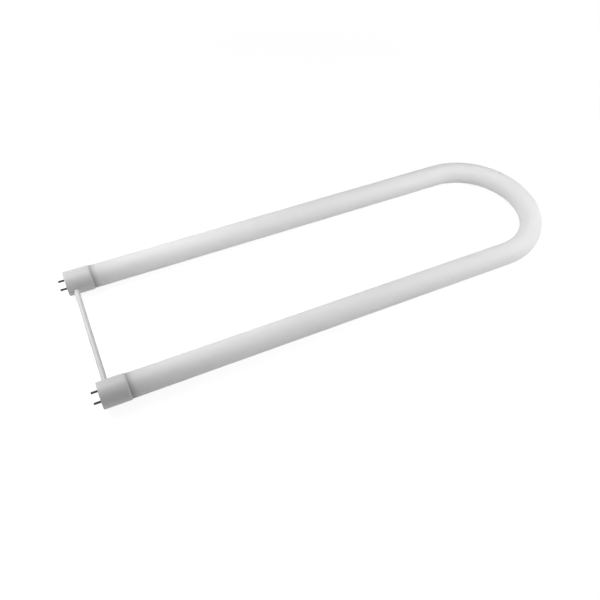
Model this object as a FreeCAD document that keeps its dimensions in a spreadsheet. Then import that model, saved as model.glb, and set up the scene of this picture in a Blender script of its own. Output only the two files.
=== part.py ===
# U-bend fluorescent lamp, T8 size: an opal glass tube bent into a U, a two-pin cap on each end
# and a round spacer bar between the caps. Millimetres. The lamp lies flat: +X from the caps
# towards the bend, +Y across the legs, +Z up. The origin is below the middle, where it rests.
import FreeCAD
import Part
import math
import os

import Sketcher

# Driving sizes: name, value, what it is
SIZES = (
    ("overall_length", 571.5, "pin tips to the outside of the bend"),
    ("leg_spacing", 152.4, "axis to axis across the two legs"),
    ("tube_diameter", 26.0, "outside of the glass"),
    ("glass_wall", 0.8, "thickness of the glass"),
    ("seal_rounding", 3.0, "outside rounding of the sealed glass end"),
    ("tip_off_diameter", 3.5, "stub where the glass was pumped out and sealed"),
    ("tip_off_length", 6.0, "stub's length beyond the sealed end"),
    ("tip_off_rounding", 1.4, "rounding of the stub's melted tip"),
    ("cap_length", 28.0, "cap's end face to its rim"),
    ("cap_wall", 0.6, "cap's side wall"),
    ("cap_end_wall", 2.0, "cap's end wall, which holds the pins"),
    ("cap_end_rounding", 1.2, "rounding where the end wall meets the side"),
    ("rim_bevel_depth", 0.35, "bevel at the rim, measured inwards"),
    ("rim_bevel_length", 1.2, "bevel at the rim, measured along the cap"),
    ("cement_thickness", 0.2, "cement between glass and cap"),
    ("cement_setback", 2.0, "cement to the cap's rim"),
    ("pin_diameter", 2.35, "contact pin"),
    ("pin_length", 7.1, "pin beyond the cap's end face"),
    ("pin_spacing", 12.7, "axis to axis of a cap's two pins"),
    ("pin_tip_rounding", 0.55, "rounding of the pin's tip"),
    ("pin_seat_diameter", 2.8, "thicker part of the pin in the cap's end wall"),
    ("pin_flange_diameter", 3.6, "collar behind the end wall"),
    ("pin_flange_thickness", 0.6, "collar's thickness"),
    ("bar_diameter", 5.5, "spacer bar"),
    ("bar_setback", 8.5, "bar's axis to the cap's end face"),
    ("bar_end_bevel", 0.4, "bevel on each end of the bar"),
    ("socket_floor", 1.0, "plastic behind the bar's end"),
    ("socket_wall", 1.5, "plastic beside the bar's socket"),
    ("socket_clearance", 1.0, "pin's collar to the block that holds the socket"),
    ("seal_clearance", 1.25, "socket's block to the sealed glass end"),
    ("wire_diameter", 0.5, "lead wire"),
    ("wire_spacing", 6.0, "axis to axis of a leg's two wires where they leave the glass"),
    ("wire_bend_radius", 4.0, "axis radius of the wire's two bends"),
    ("wire_run", 0.5, "straight wire between the pin's collar and its first bend"),
    ("wire_grip", 2.2, "depth of the hole in the pin's back that grips the wire"),
)

# Worked out from the driving sizes. X counts from the caps' end faces, the rest from a leg's axis
TUBE_R = "(Sizes.tube_diameter / 2)"
BORE_R = f"({TUBE_R} - Sizes.glass_wall)"
CAP_INNER_R = f"({TUBE_R} + Sizes.cement_thickness)"
CAP_R = f"({CAP_INNER_R} + Sizes.cap_wall)"
PIN_R = "(Sizes.pin_diameter / 2)"
PIN_OFFSET = "(Sizes.pin_spacing / 2)"
SEAT_R = "(Sizes.pin_seat_diameter / 2)"
COLLAR_R = "(Sizes.pin_flange_diameter / 2)"
BAR_R = "(Sizes.bar_diameter / 2)"
WIRE_R = "(Sizes.wire_diameter / 2)"
WIRE_OFFSET = "(Sizes.wire_spacing / 2)"
LEG_Y = "(Sizes.leg_spacing / 2)"
BEND_X = f"(Sizes.overall_length - Sizes.pin_length - {TUBE_R} - {LEG_Y})"
BLOCK_Y = f"({PIN_OFFSET} + {COLLAR_R} + Sizes.socket_clearance)"
SOCKET_Y = f"({BLOCK_Y} + Sizes.socket_floor)"
BLOCK_END_X = f"(Sizes.bar_setback + {BAR_R} + Sizes.socket_wall)"
SEAL_X = f"({BLOCK_END_X} + Sizes.seal_clearance)"
CEMENT_START_X = f"({SEAL_X} + Sizes.seal_rounding)"
CEMENT_LENGTH = f"(Sizes.cap_length - Sizes.cement_setback - {CEMENT_START_X})"

# Worked out along a pin, counting from its tip
COLLAR_X = "(Sizes.pin_length + Sizes.cap_end_wall)"
PIN_BACK_X = f"({COLLAR_X} + Sizes.pin_flange_thickness)"
WIRE_START_X = f"({PIN_BACK_X} - Sizes.wire_grip)"
WIRE_BEND_X = f"({PIN_BACK_X} + Sizes.wire_run)"
WIRE_END_X = f"(Sizes.pin_length + {SEAL_X})"

# Where the legs lie in the lamp's own frame
END_FACE_X = "(Sizes.pin_length - Sizes.overall_length / 2)"
PIN_TIP_X = "(-Sizes.overall_length / 2)"
AXIS_Z = CAP_R

ZERO = "0"
TOLERANCE = 1e-4

doc = FreeCAD.newDocument("u_bend_lamp")


def make_sheet():
    """The spreadsheet of driving sizes, one alias a row."""
    sheet = doc.addObject("Spreadsheet::Sheet", "Sizes")
    for row, (name, value, meaning) in enumerate(SIZES, start=1):
        sheet.set(f"A{row}", name)
        sheet.set(f"B{row}", str(value))
        sheet.set(f"C{row}", meaning)
        sheet.setAlias(f"B{row}", name)
    doc.recompute()
    return sheet


sizes = make_sheet()


def size(expression):
    """The number that an expression on the sheet gives now."""
    return float(sizes.evalExpression(expression))


# Sketch helpers


def make_body(label):
    """An empty body whose label is its file's name."""
    body = doc.addObject("PartDesign::Body", label)
    body.Label = label
    return body


def place(body, x=ZERO, y=ZERO, z=ZERO, turned=False):
    """Puts a body where it belongs; turned swings it half round about X."""
    angle = 180 if turned else 0
    body.Placement = FreeCAD.Placement(
        FreeCAD.Vector(), FreeCAD.Rotation(FreeCAD.Vector(1, 0, 0), angle)
    )
    for axis, expression in (("x", x), ("y", y), ("z", z)):
        body.setExpression(f"Placement.Base.{axis}", expression)


def sketch_on(body, name, plane, x=ZERO, y=ZERO, z=ZERO):
    """A sketch on one of the body's own planes, moved in the plane by x and y and along it by z."""
    sketch = body.newObject("Sketcher::SketchObject", f"{body.Name}_{name}")
    support = next(item for item in body.Origin.OriginFeatures if item.Role == plane)
    sketch.AttachmentSupport = [(support, "")]
    sketch.MapMode = "FlatFace"
    for axis, expression in (("x", x), ("y", y), ("z", z)):
        sketch.setExpression(f"AttachmentOffset.Base.{axis}", expression)
    return sketch


def bind(sketch, name, expression, *constraint):
    """Adds a constraint whose value follows the sheet."""
    index = sketch.addConstraint(Sketcher.Constraint(*constraint, size(expression)))
    sketch.renameConstraint(index, name)
    sketch.setExpression(f"Constraints.{name}", expression)


def fix_point(sketch, item, point, x, y, name):
    """Holds a point of one sketched item at x, y."""
    if x == ZERO:
        sketch.addConstraint(Sketcher.Constraint("PointOnObject", item, point, -2))
    else:
        bind(sketch, f"{name}_x", x, "DistanceX", -1, 1, item, point)
    if y == ZERO:
        sketch.addConstraint(Sketcher.Constraint("PointOnObject", item, point, -1))
    else:
        bind(sketch, f"{name}_y", y, "DistanceY", -1, 1, item, point)


def add_circle(sketch, radius, x=ZERO, y=ZERO, name="circle"):
    """A circle of a named radius about x, y."""
    centre = FreeCAD.Vector(size(x), size(y), 0)
    circle = Part.Circle(centre, FreeCAD.Vector(0, 0, 1), size(radius))
    item = sketch.addGeometry(circle, False)
    fix_point(sketch, item, 3, x, y, name)
    bind(sketch, f"{name}_radius", radius, "Radius", item)


def add_outline(sketch, corners):
    """A closed outline of straight sides through the corners."""
    points = [FreeCAD.Vector(size(x), size(y), 0) for x, y in corners]
    count = len(points)
    for index in range(count):
        side = Part.LineSegment(points[index], points[(index + 1) % count])
        sketch.addGeometry(side, False)
    for index, (x, y) in enumerate(corners):
        following = (index + 1) % count
        sketch.addConstraint(Sketcher.Constraint("Coincident", index, 2, following, 1))
        fix_point(sketch, index, 1, x, y, f"corner_{index}")


# Feature helpers


def volume_after(body):
    """The body's volume once its features are up to date."""
    doc.recompute()
    return body.Shape.Volume


def extrude(body, name, sketch, length):
    """Adds a pad along the sketch's normal."""
    pad = body.newObject("PartDesign::Pad", f"{body.Name}_{name}")
    pad.Profile = sketch
    pad.setExpression("Length", length)
    doc.recompute()
    return pad


def cut(body, name, sketch, length, along_normal=False):
    """Cuts a pocket against the sketch's normal, or along it, and makes sure that it took something."""
    before = volume_after(body)
    pocket = body.newObject("PartDesign::Pocket", f"{body.Name}_{name}")
    pocket.Profile = sketch
    pocket.Reversed = along_normal
    pocket.setExpression("Length", length)
    if volume_after(body) > before - TOLERANCE:
        raise RuntimeError(f"{pocket.Name} cut nothing")
    return pocket


def revolve(body, name, sketch):
    """Turns a sketch once round its own horizontal axis."""
    turned = body.newObject("PartDesign::Revolution", f"{body.Name}_{name}")
    turned.Profile = sketch
    turned.ReferenceAxis = (sketch, ["H_Axis"])
    turned.Angle = 360
    doc.recompute()
    return turned


def sweep(body, name, kind, profile, path):
    """Carries a profile along every edge of a path."""
    doc.recompute()
    pipe = body.newObject(f"PartDesign::{kind}", f"{body.Name}_{name}")
    pipe.Profile = profile
    edges = [f"Edge{index + 1}" for index in range(len(path.Shape.Edges))]
    pipe.Spine = (path, edges)
    doc.recompute()
    return pipe


def ring_edges(feature, x, radius):
    """Names of the feature's round edges that stand at x with this radius."""
    names = []
    for index, edge in enumerate(feature.Shape.Edges, start=1):
        round_edge = isinstance(edge.Curve, Part.Circle)
        if round_edge and abs(edge.Curve.Center.x - x) < TOLERANCE:
            if abs(edge.Curve.Radius - radius) < TOLERANCE:
                names.append(f"Edge{index}")
    if not names:
        raise RuntimeError(f"{feature.Name} has no round edge at {x}")
    return names


def soften(body, name, kind, feature, x, radius, amount):
    """Rounds or bevels the round edges at x."""
    edges = ring_edges(feature, size(x), size(radius))
    softened = body.newObject(f"PartDesign::{kind}", f"{body.Name}_{name}")
    softened.Base = (feature, edges)
    softened.setExpression("Radius" if kind == "Fillet" else "Size", amount)
    doc.recompute()
    return softened


# The glass


def u_path(body, name, start_x):
    """The tube's centreline: leg, half circle, leg, starting and ending at start_x."""
    path = sketch_on(body, name, "XY_Plane")
    start, bend, leg = size(start_x), size(BEND_X), size(LEG_Y)
    vector = FreeCAD.Vector
    half_circle = Part.Circle(vector(bend, 0, 0), vector(0, 0, 1), leg)
    path.addGeometry(Part.LineSegment(vector(start, leg, 0), vector(bend, leg, 0)), False)
    path.addGeometry(Part.ArcOfCircle(half_circle, -math.pi / 2, math.pi / 2), False)
    path.addGeometry(Part.LineSegment(vector(bend, -leg, 0), vector(start, -leg, 0)), False)
    for rule in (
        ("Tangent", 0, 2, 1, 2),
        ("Tangent", 1, 1, 2, 1),
        ("Horizontal", 0),
        ("Horizontal", 2),
        ("Vertical", 0, 1, 2, 2),
    ):
        path.addConstraint(Sketcher.Constraint(*rule))
    fix_point(path, 1, 3, BEND_X, ZERO, "bend")
    bind(path, "bend_radius", LEG_Y, "Radius", 1)
    bind(path, "start_x", start_x, "DistanceX", -1, 1, 0, 1)
    return path


def make_glass():
    """The blown glass: one tube with an even wall, its two ends melted shut round a pumping stub."""
    body = make_body("glass_tube")
    void_x = f"({SEAL_X} + Sizes.glass_wall)"
    outside = sketch_on(body, "outside", "YZ_Plane", z=SEAL_X)
    add_circle(outside, TUBE_R, x=LEG_Y)
    sweep(body, "tube", "AdditivePipe", outside, u_path(body, "centreline", SEAL_X))
    inside = sketch_on(body, "inside", "YZ_Plane", z=void_x)
    add_circle(inside, BORE_R, x=LEG_Y)
    void = sweep(body, "void", "SubtractivePipe", inside, u_path(body, "void_line", void_x))
    inner_rounding = "Sizes.seal_rounding - Sizes.glass_wall"
    rounded = soften(body, "inner_ends", "Fillet", void, void_x, BORE_R, inner_rounding)
    soften(body, "outer_ends", "Fillet", rounded, SEAL_X, TUBE_R, "Sizes.seal_rounding")
    stub_r = "(Sizes.tip_off_diameter / 2)"
    stub_x = f"({SEAL_X} - Sizes.tip_off_length)"
    root_x = f"({SEAL_X} + Sizes.glass_wall / 2)"
    corners = ((stub_x, ZERO), (stub_x, stub_r), (root_x, stub_r), (root_x, ZERO))
    for side, sign in (("left", ""), ("right", "-")):
        outline = sketch_on(body, f"{side}_stub_outline", "XY_Plane", y=f"{sign}{LEG_Y}")
        add_outline(outline, corners)
        stub = revolve(body, f"{side}_stub", outline)
        soften(body, f"{side}_tip", "Fillet", stub, stub_x, stub_r, "Sizes.tip_off_rounding")
    place(body, x=END_FACE_X, z=AXIS_Z)
    return body


# The caps and what they hold. Each is drawn on the leg's axis with the other leg towards +Y


def make_cap(side, leg_y, turned):
    """A moulded cup: end wall with two pin holes, thin side wall, block with the bar's socket."""
    body = make_body(f"{side}_end_cap")
    outline = sketch_on(body, "outline", "XY_Plane")
    bevel_x = "(Sizes.cap_length - Sizes.rim_bevel_length)"
    rim_r = f"({CAP_R} - Sizes.rim_bevel_depth)"
    add_outline(
        outline,
        (
            (ZERO, ZERO),
            (ZERO, CAP_R),
            (bevel_x, CAP_R),
            ("Sizes.cap_length", rim_r),
            ("Sizes.cap_length", ZERO),
        ),
    )
    blank = revolve(body, "blank", outline)
    soften(body, "rounded_end", "Fillet", blank, ZERO, CAP_R, "Sizes.cap_end_rounding")

    mouth = sketch_on(body, "mouth", "YZ_Plane", z="Sizes.cap_length")
    add_circle(mouth, CAP_INNER_R)
    cut(body, "glass_room", mouth, f"Sizes.cap_length - {BLOCK_END_X}")

    hollow = sketch_on(body, "hollow", "YZ_Plane", z=BLOCK_END_X)
    add_flat_circle(hollow, CAP_INNER_R, BLOCK_Y)
    cut(body, "wire_room", hollow, f"{BLOCK_END_X} - Sizes.cap_end_wall")

    socket = sketch_on(body, "socket_outline", "XZ_Plane", z=f"-{SOCKET_Y}")
    add_circle(socket, BAR_R, x="Sizes.bar_setback")
    cut(body, "socket", socket, f"{CAP_R} - {SOCKET_Y}")

    holes = sketch_on(body, "pin_circles", "YZ_Plane")
    add_circle(holes, SEAT_R, x=PIN_OFFSET, name="near_hole")
    add_circle(holes, SEAT_R, x=f"-{PIN_OFFSET}", name="far_hole")
    cut(body, "pin_holes", holes, "Sizes.cap_end_wall", along_normal=True)
    place(body, x=END_FACE_X, y=leg_y, z=AXIS_Z, turned=turned)
    return body


def add_flat_circle(sketch, radius, flat):
    """A circle with one side cut off straight, at a distance flat from its centre."""
    reach, edge = size(radius), size(flat)
    angle = math.acos(edge / reach)
    rise = math.sqrt(reach**2 - edge**2)
    whole = Part.Circle(FreeCAD.Vector(), FreeCAD.Vector(0, 0, 1), reach)
    sketch.addGeometry(Part.ArcOfCircle(whole, angle, 2 * math.pi - angle), False)
    low, high = FreeCAD.Vector(edge, -rise, 0), FreeCAD.Vector(edge, rise, 0)
    sketch.addGeometry(Part.LineSegment(low, high), False)
    for rule in (("Coincident", 0, 2, 1, 1), ("Coincident", 1, 2, 0, 1), ("Vertical", 1)):
        sketch.addConstraint(Sketcher.Constraint(*rule))
    fix_point(sketch, 0, 3, ZERO, ZERO, "centre")
    bind(sketch, "radius", radius, "Radius", 0)
    bind(sketch, "flat", flat, "DistanceX", -1, 1, 1, 1)


def make_cement(side, leg_y):
    """The ring of cement between the glass and the cap."""
    body = make_body(f"{side}_cap_cement")
    ring = sketch_on(body, "ring", "YZ_Plane", z=CEMENT_START_X)
    add_circle(ring, CAP_INNER_R, name="outside")
    add_circle(ring, TUBE_R, name="inside")
    extrude(body, "band", ring, CEMENT_LENGTH)
    place(body, x=END_FACE_X, y=leg_y, z=AXIS_Z)
    return body


def make_pin(side, where, pin_y):
    """A contact pin, drawn from its tip: shank, seat in the wall, collar, blind hole for the wire."""
    body = make_body(f"{side}_{where}_pin")
    outline = sketch_on(body, "outline", "XY_Plane")
    add_outline(
        outline,
        (
            (ZERO, ZERO),
            (ZERO, PIN_R),
            ("Sizes.pin_length", PIN_R),
            ("Sizes.pin_length", SEAT_R),
            (COLLAR_X, SEAT_R),
            (COLLAR_X, COLLAR_R),
            (PIN_BACK_X, COLLAR_R),
            (PIN_BACK_X, WIRE_R),
            (WIRE_START_X, WIRE_R),
            (WIRE_START_X, ZERO),
        ),
    )
    shank = revolve(body, "shank", outline)
    soften(body, "tip", "Fillet", shank, ZERO, PIN_R, "Sizes.pin_tip_rounding")
    place(body, x=PIN_TIP_X, y=pin_y, z=AXIS_Z)
    return body


def make_wire(side, where, leg_y, turned):
    """A lead wire from the pin's back to the sealed glass: straight, two equal bends, straight."""
    body = make_body(f"{side}_{where}_lead")
    path = sketch_on(body, "path", "XY_Plane")
    add_s_bend(path, WIRE_START_X, WIRE_BEND_X, WIRE_END_X)
    section = sketch_on(body, "section", "YZ_Plane", z=WIRE_START_X)
    add_circle(section, WIRE_R, x=PIN_OFFSET)
    sweep(body, "wire", "AdditivePipe", section, path)
    place(body, x=PIN_TIP_X, y=leg_y, z=AXIS_Z, turned=turned)
    return body


def add_s_bend(sketch, start_x, bend_x, end_x):
    """Line, arc, arc, line: from the pin's axis at start_x over to the wire's own axis at end_x."""
    start, bend, end = size(start_x), size(bend_x), size(end_x)
    high, low = size(PIN_OFFSET), size(WIRE_OFFSET)
    radius = size("Sizes.wire_bend_radius")
    swing = math.acos(1 - (high - low) / (2 * radius))
    across = 2 * radius * math.sin(swing)
    vector = FreeCAD.Vector
    upper = Part.Circle(vector(bend, high - radius, 0), vector(0, 0, 1), radius)
    lower = Part.Circle(vector(bend + across, low + radius, 0), vector(0, 0, 1), radius)
    top, bottom = math.pi / 2, -math.pi / 2
    sketch.addGeometry(Part.LineSegment(vector(start, high, 0), vector(bend, high, 0)), False)
    sketch.addGeometry(Part.ArcOfCircle(upper, top - swing, top), False)
    sketch.addGeometry(Part.ArcOfCircle(lower, bottom - swing, bottom), False)
    sketch.addGeometry(
        Part.LineSegment(vector(bend + across, low, 0), vector(end, low, 0)), False
    )
    for rule in (
        ("Tangent", 0, 2, 1, 2),
        ("Tangent", 1, 1, 2, 1),
        ("Tangent", 2, 2, 3, 1),
        ("Horizontal", 0),
        ("Horizontal", 3),
        ("Equal", 1, 2),
    ):
        sketch.addConstraint(Sketcher.Constraint(*rule))
    bind(sketch, "bend_radius", "Sizes.wire_bend_radius", "Radius", 1)
    bind(sketch, "start_x", start_x, "DistanceX", -1, 1, 0, 1)
    bind(sketch, "pin_y", PIN_OFFSET, "DistanceY", -1, 1, 0, 1)
    bind(sketch, "first_bend_x", bend_x, "DistanceX", -1, 1, 0, 2)
    bind(sketch, "end_x", end_x, "DistanceX", -1, 1, 3, 2)
    bind(sketch, "wire_y", WIRE_OFFSET, "DistanceY", -1, 1, 3, 2)


def make_bar():
    """The round spacer bar, from the floor of one cap's socket to the floor of the other's."""
    body = make_body("spacer_bar")
    half_length = f"({LEG_Y} - {SOCKET_Y})"
    outline = sketch_on(body, "outline", "XZ_Plane", z=f"-{half_length}")
    add_circle(outline, BAR_R, x="Sizes.bar_setback")
    rod = extrude(body, "rod", outline, f"2 * {half_length}")
    soften(body, "ends", "Chamfer", rod, "Sizes.bar_setback", BAR_R, "Sizes.bar_end_bevel")
    place(body, x=END_FACE_X, z=AXIS_Z)
    return body


def make_lamp():
    """Every piece of the lamp, in the order in which it goes together."""
    pieces = [make_glass(), make_bar()]
    # Seen from the pins towards the bend, the left leg is at +Y. A turned piece faces the other way
    for side, sign, turned in (("left", "", True), ("right", "-", False)):
        leg_y = f"{sign}{LEG_Y}"
        pieces.append(make_cap(side, leg_y, turned))
        pieces.append(make_cement(side, leg_y))
        for where, outward in (("outer", True), ("inner", False)):
            towards_left = outward == (side == "left")
            step = "+" if towards_left else "-"
            pieces.append(make_pin(side, where, f"{leg_y} {step} {PIN_OFFSET}"))
            pieces.append(make_wire(side, where, leg_y, not towards_left))
    return pieces


def check(pieces):
    """Stops if any object failed or any piece isn't one sound solid."""
    doc.recompute()
    for item in doc.Objects:
        if "Invalid" in item.State or "Error" in item.State:
            raise RuntimeError(f"{item.Name} failed: {item.State}")
    for body in pieces:
        if body.Shape.isNull() or not body.Shape.isValid():
            raise RuntimeError(f"{body.Label} has no valid shape")
        if len(body.Shape.Solids) != 1:
            raise RuntimeError(f"{body.Label} has {len(body.Shape.Solids)} solids")


def export(pieces):
    """Writes each piece to its own file."""
    os.makedirs("parts", exist_ok=True)
    for body in pieces:
        body.Shape.exportStep(f"parts/{body.Label}.step")
        box = body.Shape.BoundBox
        print(
            f"{body.Label}: {body.Shape.Volume:.1f} mm3, "
            f"x {box.XMin:.2f} to {box.XMax:.2f}, "
            f"y {box.YMin:.2f} to {box.YMax:.2f}, z {box.ZMin:.2f} to {box.ZMax:.2f}"
        )


lamp = make_lamp()
check(lamp)
export(lamp)
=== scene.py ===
"""A U-bend fluorescent lamp that lies on a white table under soft studio light.

Lengths are in metres, in the lamp's own frame: +X runs from the caps towards the bend, +Y across
the legs, and +Z up from the table that the lamp lies on.
"""
import logging
import math
from collections.abc import Iterable, Sequence
from dataclasses import dataclass, field
from enum import Enum

import bmesh
import bpy
from mathutils import Matrix, Vector


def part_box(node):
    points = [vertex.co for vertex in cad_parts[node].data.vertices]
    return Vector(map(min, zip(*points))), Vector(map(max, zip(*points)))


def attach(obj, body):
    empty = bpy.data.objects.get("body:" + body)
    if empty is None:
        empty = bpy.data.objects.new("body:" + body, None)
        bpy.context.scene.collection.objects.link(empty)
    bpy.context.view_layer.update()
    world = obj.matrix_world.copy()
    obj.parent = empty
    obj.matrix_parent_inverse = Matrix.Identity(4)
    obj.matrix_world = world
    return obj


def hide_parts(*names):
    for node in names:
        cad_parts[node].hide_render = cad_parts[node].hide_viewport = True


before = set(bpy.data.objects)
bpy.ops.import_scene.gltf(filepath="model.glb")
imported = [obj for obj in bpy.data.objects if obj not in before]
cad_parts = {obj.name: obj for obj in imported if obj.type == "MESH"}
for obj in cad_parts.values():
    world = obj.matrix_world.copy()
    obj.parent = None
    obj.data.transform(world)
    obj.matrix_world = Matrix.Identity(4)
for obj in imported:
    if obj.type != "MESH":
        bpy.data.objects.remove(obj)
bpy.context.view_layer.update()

LOG = logging.getLogger("lamp")
MM = 0.001
BODY = "root"
TUBE_NODE = "glass_tube"
BAR_NODE = "spacer_bar"
CAP_END_WALL = 2.0 * MM
PIN_SEAT_RADIUS = 1.4 * MM

# Vertices nearer to each other than WELD are one, and rings whose radii differ by less than
# SAME_SIZE of their size are equal.
WELD = 1e-6
SAME_SIZE = 1e-9

# Edges sharper than this many degrees stay sharp: on large pieces, and on small ones.
CREASE = 35.0
FINE_CREASE = 30.0

# A Mix node's sockets for two colours and their mixture.
COLOUR_FIRST, COLOUR_SECOND, COLOUR_RESULT = 6, 7, 2

# A station is a ring of a turned shape: its coordinate on the centre line and its radius.
Station = tuple[float, float]
Span = tuple[float, float]
Triple = tuple[float, float, float]
Colour = tuple[float, float, float]
Settings = dict[str, object]
Inputs = dict[str | int, object]


class Leg(Enum):
    """The two straight legs of the U, by the side of the lamp that they lie on."""

    LEFT = "left"
    RIGHT = "right"

    @property
    def cap(self) -> str:
        """The node of this leg's cap."""
        return f"{self.value}_end_cap"

    @property
    def pins(self) -> tuple[str, str]:
        """The nodes of this leg's contact pins, the outer one first."""
        return f"{self.value}_outer_pin", f"{self.value}_inner_pin"


class Axis(Enum):
    """The direction of a turned piece's centre line, with the turn that points a ring along it."""

    ALONG_LEG = ((1.0, 0.0, 0.0), (0.0, math.pi / 2, 0.0))
    ACROSS_LEGS = ((0.0, 1.0, 0.0), (-math.pi / 2, 0.0, 0.0))

    @property
    def direction(self) -> Vector:
        """The unit vector along the centre line."""
        return Vector(self.value[0])

    @property
    def turn(self) -> Triple:
        """The rotation that points a new ring along the centre line."""
        return self.value[1]


@dataclass(frozen=True)
class Box:
    """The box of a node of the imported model, by its lowest and highest corners."""

    low: Vector
    high: Vector

    @classmethod
    def of(cls, node: str) -> "Box":
        """The box of one node."""
        return cls(*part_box(node))

    @property
    def middle(self) -> Vector:
        """The middle of the box."""
        return (self.low + self.high) / 2

    @property
    def radius(self) -> float:
        """Half the height, which is the radius of a round piece that lies in the box."""
        return (self.high.z - self.low.z) / 2


# Working a mesh in edit mode


class Workpiece:
    """One mesh that is shaped in edit mode, from a first ring to its finished shape."""

    def __init__(self, name: str, axis: Axis, centre: Vector, radius: float, corners: int) -> None:
        """Adds the first ring and opens it in edit mode, all selected.

        Args:
            name: The new object's name.
            axis: The direction of the centre line.
            centre: The ring's middle.
            radius: The ring's radius.
            corners: How many corners the ring has.
        """
        deselect_all()
        bpy.ops.mesh.primitive_circle_add(
            vertices=corners,
            radius=radius,
            fill_type="NOTHING",
            location=centre,
            rotation=axis.turn,
        )
        self.object = bpy.context.object
        self.object.name = name
        self.object.data.name = name
        bpy.ops.object.transform_apply(location=True, rotation=True, scale=True)
        bpy.ops.object.mode_set(mode="EDIT")
        bpy.ops.mesh.select_mode(type="VERT")
        bpy.ops.mesh.select_all(action="SELECT")
        self.axis = axis.direction
        self.start = Vector(centre)
        self.middle = Vector(centre)
        self.radius = radius

    def extrude(self, offset: Vector) -> None:
        """Extrudes the selected ring by offset."""
        bpy.ops.mesh.extrude_edges_move(TRANSFORM_OT_translate={"value": tuple(offset)})
        self.middle = self.middle + offset

    def step(self, along: float, radius: float) -> None:
        """Extrudes the selected ring to a new place on its centre line and a new radius.

        Args:
            along: How far the new ring stands from the last one, along the centre line.
            radius: The new ring's radius.
        """
        self.extrude(self.axis * along)
        factor = radius / self.radius
        if abs(factor - 1.0) > SAME_SIZE:
            bpy.ops.transform.resize(value=(factor,) * 3, center_override=tuple(self.middle))
        self.radius = radius

    def turn_profile(self, stations: Sequence[Station]) -> None:
        """Draws a turned shape from the selected ring.

        Args:
            stations: The rings to add, each as its coordinate on the centre line and its radius.
        """
        for along, radius in stations:
            self.step(along - self.middle.dot(self.axis), radius)

    def spin(self, pivot: Vector, angle: float, steps: int) -> None:
        """Sweeps the selected ring round an upright line.

        Args:
            pivot: A point of that line.
            angle: How far to turn, in radians, clockwise as seen from above.
            steps: How many rings the turn adds.
        """
        bpy.ops.mesh.spin(steps=steps, angle=angle, center=tuple(pivot), axis=(0.0, 0.0, 1.0))
        turn = Matrix.Rotation(-angle, 3, "Z")
        self.middle = pivot + turn @ (self.middle - pivot)

    def close_ring(self, along: float, radius: float = math.inf) -> None:
        """Draws each ring at one place on the centre line together in its own middle.

        Args:
            along: The ring's coordinate on the centre line.
            radius: Vertices further than this from the first ring's centre line are left alone.
        """
        bpy.ops.mesh.select_all(action="DESELECT")
        mesh = bmesh.from_edit_mesh(self.object.data)
        for vertex in mesh.verts:
            offset = vertex.co - self.start
            across = offset - self.axis * offset.dot(self.axis)
            level = abs(vertex.co.dot(self.axis) - along) < WELD
            vertex.select = level and across.length < radius + WELD
        mesh.select_flush(True)
        bmesh.update_edit_mesh(self.object.data)
        bpy.ops.mesh.merge(type="COLLAPSE")

    def finish(self, crease: float = CREASE) -> bpy.types.Object:
        """Welds the mesh, points its faces outwards and shades it.

        Args:
            crease: Edges sharper than this many degrees stay sharp.

        Returns:
            The finished object, in object mode.
        """
        bpy.ops.mesh.select_all(action="SELECT")
        bpy.ops.mesh.remove_doubles(threshold=WELD)
        bpy.ops.mesh.normals_make_consistent(inside=False)
        bpy.ops.object.mode_set(mode="OBJECT")
        shade(self.object, crease)
        return self.object


def deselect_all() -> None:
    """Deselects every object."""
    bpy.ops.object.select_all(action="DESELECT")


def pick(piece: bpy.types.Object) -> None:
    """Selects one object alone and makes it the active one.

    Args:
        piece: The object.
    """
    deselect_all()
    piece.select_set(True)
    bpy.context.view_layer.objects.active = piece


def shade(piece: bpy.types.Object, crease: float) -> None:
    """Shades a piece smooth, with edges sharper than crease degrees kept sharp."""
    pick(piece)
    bpy.ops.object.shade_smooth_by_angle(angle=math.radians(crease))


def rounded_edge(end: float, radius: float, rounding: float, steps: int) -> list[Station]:
    """The stations of a rounded edge between a face across the centre line and a round side.

    Args:
        end: The face's coordinate on the centre line.
        radius: The side's radius.
        rounding: The edge's own radius.
        steps: How many stations follow the first one, which lies on the face.

    Returns:
        The stations in order, the first one included.
    """
    angles = (math.radians(180.0 - 90.0 * i / steps) for i in range(steps + 1))
    middle_x, middle_radius = end + rounding, radius - rounding
    return [
        (middle_x + rounding * math.cos(a), middle_radius + rounding * math.sin(a)) for a in angles
    ]


def evenly(first: float, last: float, radius: float, steps: int) -> list[Station]:
    """The stations of a straight run of one radius, without the first one."""
    return [(first + (last - first) * i / steps, radius) for i in range(1, steps + 1)]


def cut_away(piece: bpy.types.Object, cutter: bpy.types.Object) -> None:
    """Cuts one shape out of a piece and removes the cutter.

    Args:
        piece: The piece that is cut.
        cutter: The closed shape that is taken out of it.
    """
    pick(piece)
    modifier = piece.modifiers.new("cut", "BOOLEAN")
    modifier.operation = "DIFFERENCE"
    modifier.solver = "EXACT"
    modifier.object = cutter
    bpy.ops.object.modifier_apply(modifier=modifier.name)
    bpy.data.objects.remove(cutter)


def drill(
    axis: Axis, start: Vector, length: float, radius: float, corners: int
) -> bpy.types.Object:
    """A closed round cutter.

    Args:
        axis: The direction that it cuts in.
        start: The middle of its first end.
        length: How far it reaches.
        radius: Its radius.
        corners: How many corners its ends have.

    Returns:
        The cutter.
    """
    work = Workpiece("drill", axis, start, radius, corners)
    bpy.ops.mesh.edge_face_add()
    bpy.ops.mesh.select_all(action="SELECT")
    offset = tuple(axis.direction * length)
    bpy.ops.mesh.extrude_region_move(TRANSFORM_OT_translate={"value": offset})
    return work.finish()


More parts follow.
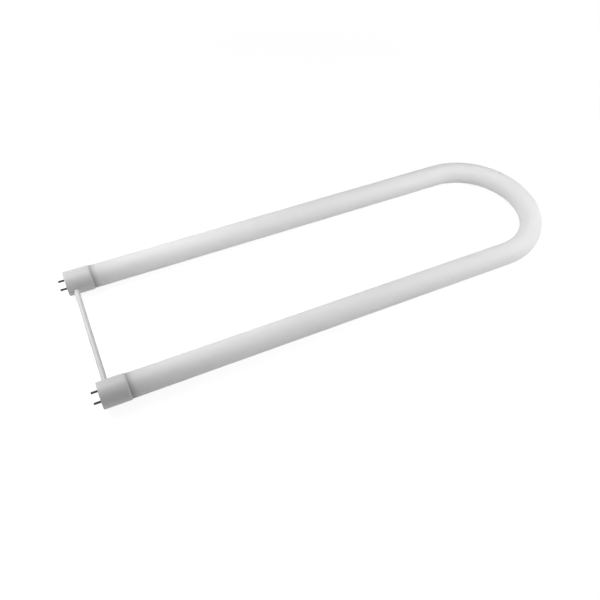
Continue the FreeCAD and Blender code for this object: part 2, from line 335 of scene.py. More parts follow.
def mend(piece: bpy.types.Object) -> None:
    """Welds a piece, closes the hair cracks that cuts leave, and points its faces outwards.

    Args:
        piece: The piece to mend.
    """
    pick(piece)
    bpy.ops.object.mode_set(mode="EDIT")
    bpy.ops.mesh.select_all(action="SELECT")
    bpy.ops.mesh.remove_doubles(threshold=WELD)
    bpy.ops.mesh.fill_holes(sides=0)
    bpy.ops.mesh.select_all(action="SELECT")
    bpy.ops.mesh.normals_make_consistent(inside=False)
    bpy.ops.object.mode_set(mode="OBJECT")


def copy_piece(source: bpy.types.Object, name: str, offset: Vector) -> bpy.types.Object:
    """Copies a piece with its own mesh and puts it in a new place.

    Args:
        source: The piece to copy.
        name: The copy's name.
        offset: How far the copy stands from the source.

    Returns:
        The copy, with its place in its mesh.
    """
    pick(source)
    bpy.ops.object.duplicate(linked=False)
    twin = bpy.context.object
    twin.name = name
    twin.data.name = name
    twin.location = offset
    bpy.ops.object.transform_apply(location=True, rotation=False, scale=False)
    return twin


def mirror_piece(source: bpy.types.Object, name: str) -> bpy.types.Object:
    """Copies a piece to the other leg, as its mirror image.

    Args:
        source: The piece on the first leg.
        name: The copy's name.

    Returns:
        The copy, with its faces pointing outwards.
    """
    twin = copy_piece(source, name, Vector())
    twin.scale = (1.0, -1.0, 1.0)
    bpy.ops.object.transform_apply(location=False, rotation=False, scale=True)
    mend(twin)
    return twin


def settle(piece: bpy.types.Object, node: str, finish: bpy.types.Material) -> None:
    """Gives a finished piece its material and its place in the frame, and reports it.

    Args:
        piece: The new piece.
        node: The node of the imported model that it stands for.
        finish: The material that it wears.
    """
    piece.data.materials.clear()
    piece.data.materials.append(finish)
    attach(piece, BODY)
    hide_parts(node)
    faces = len(piece.data.polygons)
    LOG.info("%s stands for %s: %d faces, %s", piece.name, node, faces, finish.name)


# Mixing a material


class Level:
    """A number that varies over a surface. Arithmetic on it adds Math nodes."""

    def __init__(self, graph: "Graph", socket: bpy.types.NodeSocket) -> None:
        """Wraps a node's output socket."""
        self.graph = graph
        self.socket = socket

    def _with(self, operation: str, first: "Level | float", second: "Level | float") -> "Level":
        """Adds one Math node on two numbers."""
        return self.graph.level("ShaderNodeMath", {"operation": operation}, {0: first, 1: second})

    def __add__(self, other: "Level | float") -> "Level":
        """Self plus other."""
        return self._with("ADD", self, other)

    def __radd__(self, other: float) -> "Level":
        """Other plus self."""
        return self._with("ADD", other, self)

    def __sub__(self, other: "Level | float") -> "Level":
        """Self less other."""
        return self._with("SUBTRACT", self, other)

    def __rsub__(self, other: float) -> "Level":
        """Other less self."""
        return self._with("SUBTRACT", other, self)

    def __mul__(self, other: "Level | float") -> "Level":
        """Self times other."""
        return self._with("MULTIPLY", self, other)

    def __rmul__(self, other: float) -> "Level":
        """Other times self."""
        return self._with("MULTIPLY", other, self)

    def __truediv__(self, other: "Level | float") -> "Level":
        """Self over other."""
        return self._with("DIVIDE", self, other)

    def __pow__(self, power: float) -> "Level":
        """Self to a power."""
        return self._with("POWER", self, power)

    def at_most(self, other: "Level | float") -> "Level":
        """The smaller of the two."""
        return self._with("MINIMUM", self, other)

    def at_least(self, other: "Level | float") -> "Level":
        """The larger of the two."""
        return self._with("MAXIMUM", self, other)

    def clipped(self) -> "Level":
        """Self, held between 0 and 1."""
        return self.at_least(0.0).at_most(1.0)

    def between(self, low: float, high: float) -> "Level":
        """Self on a scale that is 0 at low and 1 at high, held there beyond both."""
        return ((self - low) / (high - low)).clipped()


class Graph:
    """The nodes of a material or of the surround."""

    def __init__(self, tree: bpy.types.NodeTree) -> None:
        """Starts with an empty tree."""
        self.tree = tree
        self.tree.nodes.clear()

    def node(self, kind: str, settings: Settings, inputs: Inputs) -> bpy.types.Node:
        """Adds one node.

        Args:
            kind: The node's type.
            settings: Its own settings, which are set first.
            inputs: The value or link of each socket, by name or number.

        Returns:
            The new node.
        """
        made = self.tree.nodes.new(kind)
        for key, value in settings.items():
            setattr(made, key, value)
        self.feed(made, inputs)
        return made

    def feed(self, target: bpy.types.Node, inputs: Inputs) -> None:
        """Sets or links a node's sockets.

        Args:
            target: The node.
            inputs: The value or link of each socket, by name or number.
        """
        for key, value in inputs.items():
            if isinstance(value, Level):
                value = value.socket
            if isinstance(value, bpy.types.NodeSocket):
                self.tree.links.new(value, target.inputs[key])
            else:
                target.inputs[key].default_value = value

    def level(self, kind: str, settings: Settings, inputs: Inputs) -> Level:
        """Adds a node and gives its first output as a number."""
        return Level(self, self.node(kind, settings, inputs).outputs[0])

    def output(self, kind: str, shader: bpy.types.Node) -> None:
        """Ends the graph: links a shader to an output node of the given type."""
        self.node(kind, {}, {"Surface": shader.outputs[0]})

    def blend(self, factor: Level, first: Colour, second: Colour) -> bpy.types.NodeSocket:
        """Adds a Mix node between two colours.

        Args:
            factor: 0 where the first colour shows, and 1 where the second does.
            first: The first colour.
            second: The second colour.

        Returns:
            The mixture.
        """
        made = self.node("ShaderNodeMix", {"data_type": "RGBA"}, {0: factor})
        made.inputs[COLOUR_FIRST].default_value = (*first, 1.0)
        made.inputs[COLOUR_SECOND].default_value = (*second, 1.0)
        return made.outputs[COLOUR_RESULT]

    def seen(self) -> Level:
        """Tells the rays that are seen, also in a reflection or through glass, from the others.

        Returns:
            1 for a ray that is seen, and 0 for one that only brings light.
        """
        path = self.node("ShaderNodeLightPath", {}, {}).outputs
        seen = Level(self, path["Is Camera Ray"])
        for name in ("Is Glossy Ray", "Is Transmission Ray"):
            seen = seen.at_least(Level(self, path[name]))
        return seen


@dataclass(frozen=True)
class Pattern:
    """A cloudy pattern.

    Its scale counts clouds a metre. Detail and roughness say how many finer layers it has and
    how strong they are, and stretch how much finer it is along each axis. The two levels of its
    span become 0 and 1. With no span it is left as it is.
    """

    scale: float
    detail: float = 2.0
    roughness: float = 0.5
    stretch: Triple = (1.0, 1.0, 1.0)
    span: Span | None = None


@dataclass(frozen=True)
class Relief:
    """A fine unevenness, by its depth and by how strongly it shows."""

    depth: float
    strength: float


class Recipe(Graph):
    """A material in the making: its nodes and the shader that they feed."""

    def __init__(self, name: str) -> None:
        """Starts a material with one Principled shader."""
        self.material = bpy.data.materials.new(name)
        self.material.use_nodes = True
        super().__init__(self.material.node_tree)
        self.shader = self.node("ShaderNodeBsdfPrincipled", {}, {})
        self.surface = self.shader

    def place(self, scale: Triple) -> bpy.types.NodeSocket:
        """The surface point in the lamp's frame, stretched by scale along each axis."""
        point = self.node("ShaderNodeTexCoord", {}, {}).outputs["Object"]
        return self.node("ShaderNodeMapping", {}, {"Vector": point, "Scale": scale}).outputs[0]

    def coordinate(self, name: str) -> Level:
        """One coordinate of the surface point in the lamp's frame: X, Y or Z."""
        point = self.node("ShaderNodeTexCoord", {}, {}).outputs["Object"]
        return Level(self, self.node("ShaderNodeSeparateXYZ", {}, {0: point}).outputs[name])

    def grain(self, pattern: Pattern) -> Level:
        """Adds a cloudy pattern.

        Args:
            pattern: What it looks like.

        Returns:
            The pattern, between 0 and 1.
        """
        inputs = {
            "Vector": self.place(pattern.stretch),
            "Scale": pattern.scale,
            "Detail": pattern.detail,
            "Roughness": pattern.roughness,
        }
        level = self.level("ShaderNodeTexNoise", {}, inputs)
        return level.between(*pattern.span) if pattern.span else level

    def relief(self, height: Level, relief: Relief) -> bpy.types.NodeSocket:
        """A bump that rises by the relief's depth where height goes from 0 to 1."""
        inputs = {"Strength": relief.strength, "Distance": relief.depth, "Height": height}
        return self.node("ShaderNodeBump", {}, inputs).outputs[0]

    def cover(self, share: Level, inputs: Inputs) -> None:
        """Lays a second finish over the first one.

        Args:
            share: How much it hides, from 0 to 1.
            inputs: Its sockets' values or links.
        """
        second = self.node("ShaderNodeBsdfPrincipled", {}, inputs)
        shaders = {0: share, 1: self.surface.outputs[0], 2: second.outputs[0]}
        self.surface = self.node("ShaderNodeMixShader", {}, shaders)

    def done(self, inputs: Inputs) -> bpy.types.Material:
        """Feeds the first shader and ends the graph.

        Args:
            inputs: The shader's sockets' values or links.

        Returns:
            The material.
        """
        self.feed(self.shader, inputs)
        self.output("ShaderNodeOutputMaterial", self.surface)
        return self.material


@dataclass(frozen=True)
class OpalGlass:
    """Glass with the white powder coat behind it, which light seeps through; painted shade darkens
    it next to the caps.
    """

    coat: Colour = (0.95, 0.95, 0.95)
    thin_coat: Colour = (0.91, 0.91, 0.91)
    clouds: Pattern = Pattern(14.0, 3.0, 0.55, span=(0.3, 0.7))
    cloud_share: float = 0.55
    specks: Pattern = Pattern(900.0, 2.0, 0.6, span=(0.62, 0.8))
    speck_share: float = 0.3
    # Painted shade: a grey that darkens the coat towards the caps, strongest just past their rims
    # as a painted shadow of the rim.
    painted_end_shade: Colour = (0.4, 0.4, 0.4)
    cloudy_painted_end_shade: Colour = (0.36, 0.36, 0.36)
    end_shade_reach: float = 150 * MM
    end_shade_share: float = 0.45
    rim_shadow_reach: float = 9 * MM
    rim_shadow_share: float = 0.7
    fade_power: float = 2.0
    seep: float = 40 * MM
    seep_share: float = 0.85
    roughness: float = 0.52
    roughness_swing: float = 0.08
    patches: Pattern = Pattern(30.0)
    ior: float = 1.5
    waves: Pattern = Pattern(26.0, 1.0, stretch=(0.35, 1.0, 1.0))
    relief: Relief = Relief(0.25 * MM, 0.25)

    def material(self, rim_x: float) -> bpy.types.Material:
        """Makes the finish.

        Args:
            rim_x: Where the caps end, along X. Painted shade darkens the coat next to them.

        Returns:
            The material.
        """
        mix = Recipe("opal_glass_coat")
        clouds = mix.grain(self.clouds)
        specks = mix.grain(self.specks)
        beyond = mix.coordinate("X") - rim_x
        # How strongly the painted shade towards the caps and the painted shadow of their rims
        # show, fading out along X.
        end = (1.0 - beyond.between(0.0, self.end_shade_reach)) ** self.fade_power
        rim = (1.0 - beyond.between(0.0, self.rim_shadow_reach)) ** self.fade_power
        surface = {
            "Roughness": self.roughness + self.roughness_swing * mix.grain(self.patches),
            "IOR": self.ior,
            "Normal": mix.relief(mix.grain(self.waves), self.relief),
        }
        # The painted shade's grey, laid over the coat by these shares.
        painted_shade_colour = mix.blend(clouds, self.painted_end_shade, self.cloudy_painted_end_shade)
        painted_shade_share = (end * self.end_shade_share + rim * self.rim_shadow_share).clipped()
        mix.cover(painted_shade_share, {"Base Color": painted_shade_colour, **surface})
        seeping = {
            "Subsurface Weight": self.seep_share,
            "Subsurface Radius": (1.0, 1.0, 1.0),
            "Subsurface Scale": self.seep,
        }
        thinness = clouds * self.cloud_share + specks * self.speck_share
        coat = mix.blend(thinness, self.coat, self.thin_coat)
        return mix.done({"Base Color": coat, **surface, **seeping})


@dataclass(frozen=True)
class MouldedPlastic:
    """Satin white plastic with the fine grain of its mould."""

    name: str
    colour: Colour
    dulled: Colour
    roughness: float
    relief: Relief
    roughness_swing: float = 0.12
    clouds: Pattern = Pattern(45.0, 3.0, 0.6, span=(0.35, 0.75))
    cloud_share: float = 0.6
    grain: Pattern = Pattern(1500.0, 2.0, 0.6)
    grain_middle: float = 0.5
    mark_span: Span = (0.55, 0.8)
    mark_share: float = 0.3
    ior: float = 1.48

    def material(self) -> bpy.types.Material:
        """Makes the finish.

        Returns:
            The material.
        """
        mix = Recipe(self.name)
        clouds = mix.grain(self.clouds)
        grain = mix.grain(self.grain)
        mould_marks = clouds * self.cloud_share + grain.between(*self.mark_span) * self.mark_share
        swing = self.roughness_swing * (grain - self.grain_middle)
        return mix.done(
            {
                "Base Color": mix.blend(mould_marks, self.colour, self.dulled),
                "Roughness": self.roughness + swing,
                "IOR": self.ior,
                "Normal": mix.relief(grain, self.relief),
            }
        )


@dataclass(frozen=True)
class ContactMetal:
    """Dark plated contact metal with the fine rings of turning."""

    plate: Colour = (0.07, 0.07, 0.07)
    tarnish: Colour = (0.032, 0.032, 0.032)
    patches: Pattern = Pattern(420.0, 3.0, 0.6, span=(0.35, 0.7))
    patch_share: float = 0.7
    rings: Pattern = Pattern(700.0, 2.0, 0.6, stretch=(6.0, 0.3, 0.3))
    ring_share: float = 0.3
    metallic: float = 0.9
    roughness: float = 0.32
    roughness_swing: float = 0.2
    relief: Relief = Relief(0.03 * MM, 0.5)

    def material(self) -> bpy.types.Material:
        """Makes the finish.

        Returns:
            The material.
        """
        mix = Recipe("dark_contact_metal")
        rings = mix.grain(self.rings)
        dulling = mix.grain(self.patches) * self.patch_share + rings * self.ring_share
        return mix.done(
            {
                "Base Color": mix.blend(dulling, self.plate, self.tarnish),
                "Metallic": self.metallic,
                "Roughness": self.roughness + self.roughness_swing * rings,
                "Normal": mix.relief(rings, self.relief),
            }
        )


@dataclass(frozen=True)
class BakedCement:
    """Brown basing cement, dry and granular."""

    colour: Colour = (0.45, 0.4, 0.33)
    grit: Colour = (0.33, 0.28, 0.22)
    grains: Pattern = Pattern(1100.0, 4.0, 0.7)
    grit_span: Span = (0.4, 0.7)
    roughness: float = 0.85
    roughness_swing: float = 0.1
    relief: Relief = Relief(0.1 * MM, 0.8)

    def material(self) -> bpy.types.Material:
        """Makes the finish.

        Returns:
            The material.
        """
        mix = Recipe("baked_cement")
        grains = mix.grain(self.grains)
        return mix.done(
            {
                "Base Color": mix.blend(grains.between(*self.grit_span), self.colour, self.grit),
                "Roughness": self.roughness + self.roughness_swing * grains,
                "Normal": mix.relief(grains, self.relief),
            }
        )


@dataclass(frozen=True)
class DrawnWire:
    """Bright wire with lengthwise draw lines."""

    colour: Colour = (0.55, 0.55, 0.54)
    dull: Colour = (0.38, 0.37, 0.35)
    lines: Pattern = Pattern(2500.0, 2.0, 0.6, stretch=(0.08, 1.0, 1.0))
    dull_span: Span = (0.35, 0.7)
    metallic: float = 1.0
    roughness: float = 0.3
    roughness_swing: float = 0.2
    relief: Relief = Relief(0.01 * MM, 0.5)

    def material(self) -> bpy.types.Material:
        """Makes the finish.

        Returns:
            The material.
        """
        mix = Recipe("drawn_wire")
        lines = mix.grain(self.lines)
        return mix.done(
            {
                "Base Color": mix.blend(lines.between(*self.dull_span), self.colour, self.dull),
                "Metallic": self.metallic,
                "Roughness": self.roughness + self.roughness_swing * lines,
                "Normal": mix.relief(lines, self.relief),
            }
        )


# The lamp's pieces


@dataclass
class GlassTube:
    """The opal tube: two straight legs, a half-circle bend and two sealed ends.

    The ring on the face of a sealed end is stated as a share of the tube's radius.
    """

    seal_rounding: float = 3.0 * MM
    stub_length: float = 6.0 * MM
    stub_radius: float = 1.75 * MM
    stub_rounding: float = 1.4 * MM
    seal_ring: float = 0.45
    stub_steps: int = 8
    shoulder_steps: int = 10
    corners: int = 112
    leg_steps: int = 36
    bend_steps: int = 120
    finish: OpalGlass = field(default_factory=OpalGlass)

    def sealed_end(self, tip_x: float, radius: float) -> list[Station]:
        """Stations from the tip of the pumping stub, over the sealed end, to the full tube.

        Args:
            tip_x: The stub's tip, along X.
            radius: The tube's radius.

        Returns:
            The stations, the first one a small ring on the stub's tip.
        """
        seal_x = tip_x + self.stub_length
        stub = rounded_edge(tip_x, self.stub_radius, self.stub_rounding, self.stub_steps)
        face = [(seal_x, self.stub_radius), (seal_x, radius * self.seal_ring)]
        shoulder = rounded_edge(seal_x, radius, self.seal_rounding, self.shoulder_steps)
        return stub + face + shoulder

    def build(self, rim_x: float) -> bpy.types.Object:
        """Draws the tube in one pass, from one stub along the U to the other.

        Args:
            rim_x: Where the caps end, along X.

        Returns:
            The tube.
        """
        box = Box.of(TUBE_NODE)
        radius = box.radius
        pivot = Vector((box.high.x - box.high.y, 0.0, box.middle.z))
        first, *end = self.sealed_end(box.low.x, radius)
        leg = evenly(end[-1][0], pivot.x, radius, self.leg_steps)
        start = Vector((first[0], box.high.y - radius, pivot.z))
        work = Workpiece("opal_tube", Axis.ALONG_LEG, start, first[1], self.corners)
        work.turn_profile(end + leg)
        work.spin(pivot, math.pi, self.bend_steps)
        work.turn_profile([first, *end, *leg][-2::-1])
        work.close_ring(box.low.x)
        tube = work.finish()
        settle(tube, TUBE_NODE, self.finish.material(rim_x))
        return tube


@dataclass
class EndCap:
    """A moulded cup on the end of a leg, with two pin holes and the socket of the spacer bar.

    The rings of the end face and of the floor are stated as shares of their radius. Each cutter
    starts or ends an overrun outside what it opens.
    """

    end_rounding: float = 0.9 * MM
    bevel_depth: float = 0.45 * MM
    bevel_length: float = 0.7 * MM
    wall: float = 0.6 * MM
    end_wall: float = CAP_END_WALL
    block_depth: float = 12.75 * MM
    block_edge: float = 9.15 * MM
    room_gap: float = 0.3 * MM
    socket_floor: float = 10.15 * MM
    hole_radius: float = PIN_SEAT_RADIUS
    fit_gap: float = 0.04 * MM
    overrun: float = 2.0 * MM
    hole_overrun: float = 1.0 * MM
    first_ring: float = 0.1
    face_rings: tuple[float, ...] = (0.3, 0.6, 0.85)
    floor_rings: tuple[float, ...] = (0.7, 0.4, 0.1)
    edge_steps: int = 8
    side_steps: int = 14
    corners: int = 144
    room_corners: int = 96
    hole_corners: int = 48
    socket_corners: int = 72
    finish: MouldedPlastic = MouldedPlastic(
        "satin_cap_plastic", (0.585,) * 3, (0.545,) * 3, 0.42, Relief(0.03 * MM, 0.5)
    )

    def build_pair(self) -> list[bpy.types.Object]:
        """Models the left leg's cap, mirrors it to the right leg and dresses both.

        Returns:
            The two caps, left one first.
        """
        left = self.shell()
        self.cut_openings(left)
        mend(left)
        shade(left, CREASE)
        right = mirror_piece(left, "right_cap")
        plastic = self.finish.material()
        settle(left, Leg.LEFT.cap, plastic)
        settle(right, Leg.RIGHT.cap, plastic)
        return [left, right]

    def shell(self) -> bpy.types.Object:
        """Turns the cup: end face, rounded edge, side, bevelled rim and the room for the glass.

        Returns:
            The left leg's cup, without its openings.
        """
        box = Box.of(Leg.LEFT.cap)
        radius = box.radius
        inner = radius - self.wall
        first_radius = radius * self.first_ring
        rim_x, floor_x = box.high.x, box.low.x + self.block_depth
        face = [(box.low.x, radius * share) for share in self.face_rings]
        edge = rounded_edge(box.low.x, radius, self.end_rounding, self.edge_steps)
        side = evenly(edge[-1][0], rim_x - self.bevel_length, radius, self.side_steps)
        rim = [(rim_x, radius - self.bevel_depth), (rim_x, inner), (floor_x, inner)]
        floor = [(floor_x, inner * share) for share in self.floor_rings]
        start = Vector((box.low.x, box.middle.y, box.middle.z))
        work = Workpiece("left_cap", Axis.ALONG_LEG, start, first_radius, self.corners)
        work.turn_profile(face + edge + side + rim + floor)
        work.close_ring(box.low.x, first_radius)
        work.close_ring(floor_x, first_radius)
        return work.finish()

    def cut_openings(self, cap: bpy.types.Object) -> None:
        """Cuts the room for the wires, the two pin holes and the bar's socket out of the cup.

        Args:
            cap: The left leg's cup.
        """
        box = Box.of(Leg.LEFT.cap)
        cut_away(cap, self.wire_room(box))
        length = self.end_wall + 2 * self.hole_overrun
        radius = self.hole_radius + self.fit_gap
        for node in Leg.LEFT.pins:
            start = Vector((box.low.x - self.hole_overrun, Box.of(node).middle.y, box.middle.z))
            cut_away(cap, drill(Axis.ALONG_LEG, start, length, radius, self.hole_corners))
        bar = Box.of(BAR_NODE)
        start = Vector((bar.middle.x, box.low.y - self.overrun, bar.middle.z))
        length = box.middle.y - self.socket_floor - start.y
        radius = bar.radius + self.fit_gap
        cut_away(cap, drill(Axis.ACROSS_LEGS, start, length, radius, self.socket_corners))

    def wire_room(self, box: Box) -> bpy.types.Object:
        """The space behind the end wall, round but for the block that holds the bar's socket.

        Args:
            box: The cap's box.

        Returns:
            The cutter.
        """
        start = Vector((box.low.x + self.end_wall, box.middle.y, box.middle.z))
        length = self.block_depth - self.end_wall + self.overrun
        radius = box.radius - self.wall - self.room_gap
        room = drill(Axis.ALONG_LEG, start, length, radius, self.room_corners)
        pick(room)
        bpy.ops.object.mode_set(mode="EDIT")
        bpy.ops.mesh.select_all(action="SELECT")
        bpy.ops.mesh.bisect(
            plane_co=(0.0, box.middle.y - self.block_edge, 0.0),
            plane_no=(0.0, 1.0, 0.0),
            use_fill=True,
            clear_inner=True,
        )
        bpy.ops.object.mode_set(mode="OBJECT")
        return room


@dataclass
class ContactPins:
    """The four contact pins, each with a thicker seat in the cap's wall and a collar behind it.

    The rings of the dimple are stated as shares of its depth and of its radius.
    """

    length: float = 7.1 * MM
    radius: float = 1.175 * MM
    tip_rounding: float = 0.55 * MM
    dimple_radius: float = 0.45 * MM
    dimple_depth: float = 0.12 * MM
    dimple_rings: tuple[Station, ...] = ((1.0, 0.4), (0.35, 0.85), (0.0, 1.0))
    seat_radius: float = PIN_SEAT_RADIUS
    seat_bevel: float = 0.08 * MM
    end_wall: float = CAP_END_WALL
    collar_radius: float = 1.8 * MM
    collar_length: float = 0.6 * MM
    wire_hole: float = 0.25 * MM
    hole_depth: float = 2.2 * MM
    nose_steps: int = 8
    shank_steps: int = 6
    corners: int = 48
    finish: ContactMetal = field(default_factory=ContactMetal)

    def stations(self, tip_x: float) -> list[Station]:
        """The turned profile of a pin, from the dimple in its tip to the hole in its back.

        Args:
            tip_x: The tip, along X.

        Returns:
            The stations in order.
        """
        root_x = tip_x + self.length
        collar_x = root_x + self.end_wall
        back_x = collar_x + self.collar_length
        tip = [
            (tip_x + self.dimple_depth * depth, self.dimple_radius * radius)
            for depth, radius in self.dimple_rings
        ]
        nose = rounded_edge(tip_x, self.radius, self.tip_rounding, self.nose_steps)
        shank = evenly(nose[-1][0], root_x, self.radius, self.shank_steps)
        seat = [
            (root_x, self.seat_radius - self.seat_bevel),
            (root_x + self.seat_bevel, self.seat_radius),
            (collar_x, self.seat_radius),
        ]
        collar = [
            (collar_x, self.collar_radius),
            (back_x, self.collar_radius),
            (back_x, self.wire_hole),
        ]
        floor = [(back_x - self.hole_depth, self.wire_hole)]
        return tip + nose + shank + seat + collar + floor

    def build(self) -> list[bpy.types.Object]:
        """Turns one pin, copies it to the other three places and dresses all four.

        Returns:
            The pins.
        """
        metal = self.finish.material()
        nodes = [node for leg in Leg for node in leg.pins]
        box = Box.of(nodes[0])
        first, *rest = self.stations(box.low.x)
        start = Vector((first[0], box.middle.y, box.middle.z))
        work = Workpiece("left_outer_contact", Axis.ALONG_LEG, start, first[1], self.corners)
        work.turn_profile(rest)
        work.close_ring(rest[-1][0], self.wire_hole)
        work.close_ring(first[0])
        pins = [work.finish(FINE_CREASE)]
        for node in nodes[1:]:
            offset = Box.of(node).middle - box.middle
            pins.append(copy_piece(pins[0], node.replace("pin", "contact"), offset))
        for pin, node in zip(pins, nodes):
            settle(pin, node, metal)
        return pins


@dataclass
class SpacerBar:
    """The round bar that holds the caps apart.

    The first ring is stated as a share of the end face's radius.
    """

    bevel: float = 0.4 * MM
    first_ring: float = 0.5
    corners: int = 64
    steps: int = 24
    finish: MouldedPlastic = MouldedPlastic(
        "smooth_bar_plastic", (0.62,) * 3, (0.59,) * 3, 0.4, Relief(0.01 * MM, 0.5)
    )

    def build(self) -> bpy.types.Object:
        """Draws the bar from one bevelled end to the other.

        Returns:
            The bar.
        """
        box = Box.of(BAR_NODE)
        near, far, radius = box.low.y, box.high.y, box.radius
        end = radius - self.bevel
        first_radius = end * self.first_ring
        start = Vector((box.middle.x, near, box.middle.z))
        work = Workpiece("cross_bar", Axis.ACROSS_LEGS, start, first_radius, self.corners)
        work.turn_profile([(near, end), (near + self.bevel, radius)])
        work.turn_profile(evenly(near + self.bevel, far - self.bevel, radius, self.steps))
        work.turn_profile([(far, end), (far, first_radius)])
        work.close_ring(near, first_radius)
        work.close_ring(far, first_radius)
        bar = work.finish(FINE_CREASE)
        settle(bar, BAR_NODE, self.finish.material())
        return bar


@dataclass
class HiddenParts:
    """What the caps hide: the cement rings and the lead wires, which keep their own meshes."""

    cement: BakedCement = field(default_factory=BakedCement)
    wire: DrawnWire = field(default_factory=DrawnWire)

    def dress(self) -> None:
        """Gives each of these nodes its finish."""
        finishes = {"cement": self.cement.material(), "lead": self.wire.material()}
        for name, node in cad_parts.items():
            for word, finish in finishes.items():
                if name.endswith(word):
                    node.data.materials.clear()
                    node.data.materials.append(finish)
                    LOG.info("%s keeps its mesh: %s", name, finish.name)


# The studio


@dataclass(frozen=True)
class SoftBox:
    """A square soft light, aimed at a point of the lamp."""

    name: str
    place: Triple
    aim: Triple
    size: float
    watts: float

    def build(self) -> None:
        """Hangs the light."""
        data = bpy.data.lights.new(self.name, "AREA")
        data.shape = "SQUARE"
        data.size = self.size
        data.energy = self.watts
        light = bpy.data.objects.new(self.name, data)
        bpy.context.scene.collection.objects.link(light)
        light.location = self.place
        direction = Vector(self.aim) - Vector(self.place)
        light.rotation_euler = direction.to_track_quat("-Z", "Y").to_euler()
        light.visible_camera = False
        LOG.info("%s hangs at %s", self.name, self.place)


@dataclass(frozen=True)
class PhotoCamera:
    """The camera, stated by the angles that place it round the lamp and then turn it.

    Angles are in degrees. The lens and the sensor are in millimetres.
    """

    target: Triple = (3.55 * MM, 0.0, 13.8 * MM)
    azimuth: float = -30.7661
    elevation: float = 46.6576
    distance: float = 723.7603 * MM
    pan: float = 2.2421
    tilt: float = 4.1488
    roll: float = 5.6291
    lens: float = 37.644
    sensor: float = 36.0
    clip: Span = (10 * MM, 50.0)

    def build(self) -> None:
        """Sets the camera up and makes it the scene's own."""
        around, above = math.radians(self.azimuth), math.radians(self.elevation)
        level = math.cos(above)
        back = Vector((math.sin(around) * level, -math.cos(around) * level, math.sin(above)))
        place = Vector(self.target) + back * self.distance
        right = Vector((0.0, 0.0, 1.0)).cross(back).normalized()
        up = back.cross(right)
        pan, tilt, roll = (math.radians(x) for x in (self.pan, self.tilt, self.roll))
        back, right = turned(back, right, pan)
        back, up = turned(back, up, tilt)
        right, up = turned(right, up, roll)
        data = bpy.data.cameras.new("photo_camera")
        data.lens = self.lens
        data.sensor_width = self.sensor
        data.clip_start, data.clip_end = self.clip
        camera = bpy.data.objects.new("photo_camera", data)
        bpy.context.scene.collection.objects.link(camera)
        turn = Matrix((right, up, back)).transposed()
        camera.matrix_world = Matrix.Translation(place) @ turn.to_4x4()
        bpy.context.scene.camera = camera


def turned(first: Vector, second: Vector, angle: float) -> tuple[Vector, Vector]:
    """Turns two directions that stand square to each other, in the plane of both.

    Args:
        first: The direction that turns towards the second one.
        second: The direction that turns away from the first one.
        angle: How far they turn, in radians.

    Returns:
        The two new directions.
    """
    return (
        first * math.cos(angle) + second * math.sin(angle),
        second * math.cos(angle) - first * math.sin(angle),
    )


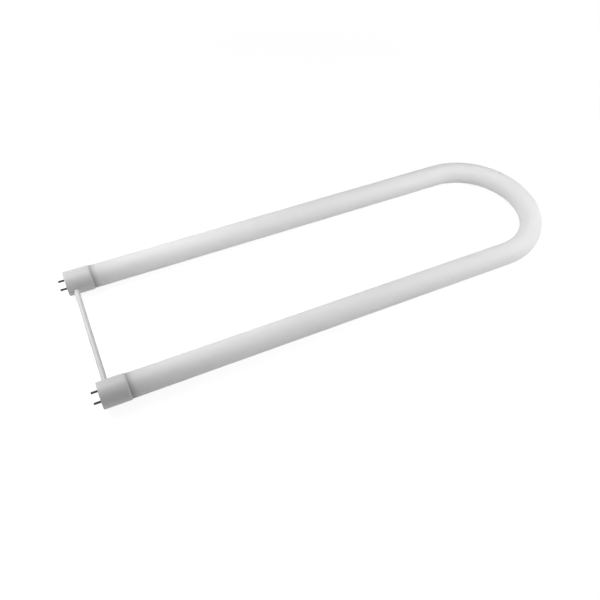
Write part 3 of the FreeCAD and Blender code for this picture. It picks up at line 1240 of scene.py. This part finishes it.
@dataclass
class Studio:
    """A white table, a white surround and soft lights.

    The table throws light back by its floor_albedo. Where it is seen it is darker, the
    seen_albedo, and lifted to near white by a glow, which leaves the lamp's soft shadow faint.
    It fades to plain white over the shadow_reach, as measured from the lamp's middle.
    """

    floor_size: float = 30.0
    floor_albedo: float = 0.8
    seen_albedo: float = 0.25
    floor_lift: float = 0.88
    shadow_reach: Span = (0.38, 0.58)
    ambient: float = 0.04
    lights: tuple[SoftBox, ...] = (
        SoftBox("key_at_caps", (-0.5, 0.35, 0.42), (-0.25, 0.0, 0.0), 0.25, 2.15),
        SoftBox("top_at_caps", (-0.35, 0.15, 0.45), (-0.25, 0.0, 0.0), 0.25, 0.65),
        SoftBox("top_at_bend", (0.35, 0.0, 0.45), (0.25, 0.0, 0.0), 0.25, 0.73),
        SoftBox("front_at_bend", (0.5, -0.3, 0.5), (0.35, 0.0, 0.0), 0.3, 0.8),
        SoftBox("fill_past_bend", (1.9, -1.0, 0.65), (0.1, 0.0, 0.0), 1.2, 6.0),
        SoftBox("fill_at_near_leg", (0.6, -1.0, 0.4), (0.1, 0.0, 0.0), 0.8, 3.3),
        SoftBox("fill_past_caps", (-1.2, 0.0, 0.5), (0.1, 0.0, 0.0), 0.8, 2.5),
    )
    camera: PhotoCamera = field(default_factory=PhotoCamera)

    def build(self) -> None:
        """Sets up the table, the surround, the lights and the camera."""
        self.lay_floor()
        self.light_surround()
        for light in self.lights:
            light.build()
        self.camera.build()
        bpy.context.scene.view_settings.view_transform = "Standard"

    def lay_floor(self) -> None:
        """Lays the table: pale and matt, white to the eye, with the lamp's soft shadow on it."""
        deselect_all()
        bpy.ops.mesh.primitive_plane_add(size=self.floor_size, location=(0.0, 0.0, 0.0))
        floor = bpy.context.object
        floor.name = "white_table"
        material = bpy.data.materials.new("white_table")
        material.use_nodes = True
        graph = Graph(material.node_tree)
        point = graph.node("ShaderNodeTexCoord", {}, {}).outputs["Object"]
        length = graph.node("ShaderNodeVectorMath", {"operation": "LENGTH"}, {0: point})
        away = Level(graph, length.outputs["Value"]).between(*self.shadow_reach)
        seen = graph.seen()
        tone = graph.blend(seen, (self.floor_albedo,) * 3, (self.seen_albedo,) * 3)
        matt = graph.node("ShaderNodeBsdfDiffuse", {}, {"Color": tone})
        glow = graph.node("ShaderNodeEmission", {}, {"Strength": seen * self.floor_lift})
        near = graph.node("ShaderNodeAddShader", {}, {0: matt.outputs[0], 1: glow.outputs[0]})
        white = graph.node("ShaderNodeEmission", {}, {"Strength": 1.0})
        shaders = {0: away * seen, 1: near.outputs[0], 2: white.outputs[0]}
        graph.output("ShaderNodeOutputMaterial", graph.node("ShaderNodeMixShader", {}, shaders))
        floor.data.materials.append(material)

    def light_surround(self) -> None:
        """Makes the surround: white to the eye, dimmer as a light."""
        world = bpy.data.worlds.new("white_surround")
        bpy.context.scene.world = world
        world.use_nodes = True
        graph = Graph(world.node_tree)
        strength = self.ambient + graph.seen() * (1.0 - self.ambient)
        white = {"Color": (1.0, 1.0, 1.0, 1.0), "Strength": strength}
        graph.output("ShaderNodeOutputWorld", graph.node("ShaderNodeBackground", {}, white))


def main() -> None:
    """Builds the lamp piece by piece, sets up the studio and logs what it built."""
    logging.basicConfig(level=logging.INFO, format="%(name)s: %(message)s")
    pieces = [
        GlassTube().build(Box.of(Leg.LEFT.cap).high.x),
        *EndCap().build_pair(),
        *ContactPins().build(),
        SpacerBar().build(),
    ]
    HiddenParts().dress()
    LOG.info("%d new pieces", len(pieces))
    Studio().build()


if __name__ == "__main__":
    main()
